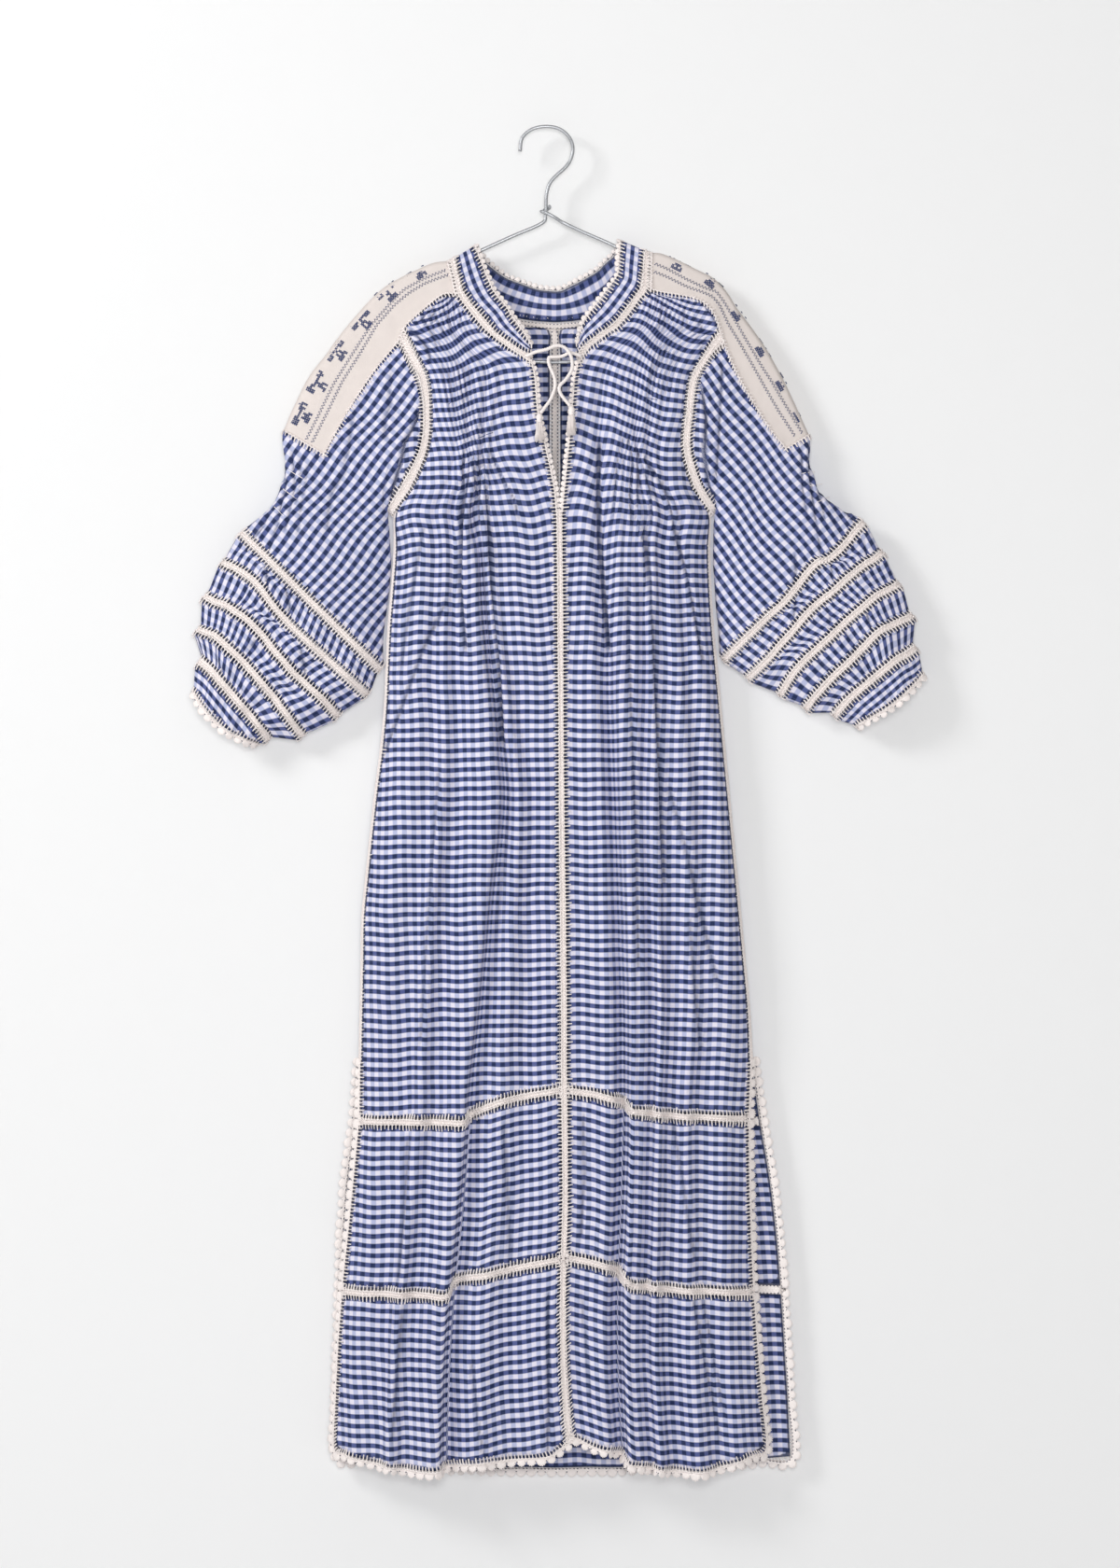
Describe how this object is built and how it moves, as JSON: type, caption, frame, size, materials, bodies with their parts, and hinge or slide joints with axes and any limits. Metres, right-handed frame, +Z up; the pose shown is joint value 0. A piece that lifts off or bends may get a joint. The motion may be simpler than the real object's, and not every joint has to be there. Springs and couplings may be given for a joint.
{
  "type": "gingham dress on a wire hanger",
  "caption": "Long gingham caftan dress with crochet insertions, cross-stitched shoulder bands, gathered banded sleeves, tasselled neck tie and side slits, on a wire hanger",
  "frame": {"origin": "where the underside of the hook's top bears on the nail or rail", "axes": "+X to the right as seen from the front, -Y out of the front of the dress, +Z up"},
  "size_m": [0.8348, 0.0613, 1.5289],
  "materials": {
    "gingham": "woven cotton check",
    "crochet": "ecru cotton crochet",
    "cream_cotton": "plain cotton with cross stitch",
    "wire": "drawn steel wire",
    "tie_cord": "crocheted cotton cord"
  },
  "bodies": {
    "root": {"armhole_insertion_left": "crochet", "armhole_insertion_right": "crochet", "back_hem_edging": "crochet", "back_insertion_lower": "crochet", "back_insertion_upper": "crochet", "back_left": "gingham", "back_right": "gingham", "back_tier_lower": "gingham", "back_tier_upper": "gingham", "centre_back_insertion": "crochet", "centre_front_insertion": "crochet", "cuff_edging_left": "crochet", "cuff_edging_right": "crochet", "cuff_left": "gingham", "cuff_right": "gingham", "front_hem_edging": "crochet", "front_insertion_lower_left": "crochet", "front_insertion_lower_right": "crochet", "front_insertion_upper_left": "crochet", "front_insertion_upper_right": "crochet", "front_left": "gingham", "front_right": "gingham", "front_tier_lower_left": "gingham", "front_tier_lower_right": "gingham", "front_tier_upper_left": "gingham", "front_tier_upper_right": "gingham", "hanger": "wire", "neck_band": "gingham", "neck_edging": "crochet", "neck_insertion": "crochet", "shoulder_band_left": "cream_cotton", "shoulder_band_right": "cream_cotton", "side_insertion_left": "crochet", "side_insertion_right": "crochet", "sleeve_insertion_a_left": "crochet", "sleeve_insertion_a_right": "crochet", "sleeve_insertion_b_left": "crochet", "sleeve_insertion_b_right": "crochet", "sleeve_insertion_c_left": "crochet", "sleeve_insertion_c_right": "crochet", "sleeve_insertion_d_left": "crochet", "sleeve_insertion_d_right": "crochet", "sleeve_insertion_e_left": "crochet", "sleeve_insertion_e_right": "crochet", "sleeve_left": "gingham", "sleeve_right": "gingham", "sleeve_tier_a_left": "gingham", "sleeve_tier_a_right": "gingham", "sleeve_tier_b_left": "gingham", "sleeve_tier_b_right": "gingham", "sleeve_tier_c_left": "gingham", "sleeve_tier_c_right": "gingham", "sleeve_tier_d_left": "gingham", "sleeve_tier_d_right": "gingham", "slit_edging": "crochet", "tassel_left": "tie_cord", "tassel_right": "tie_cord", "tie_left": "tie_cord", "tie_right": "tie_cord"}
  },
  "joints": []
}
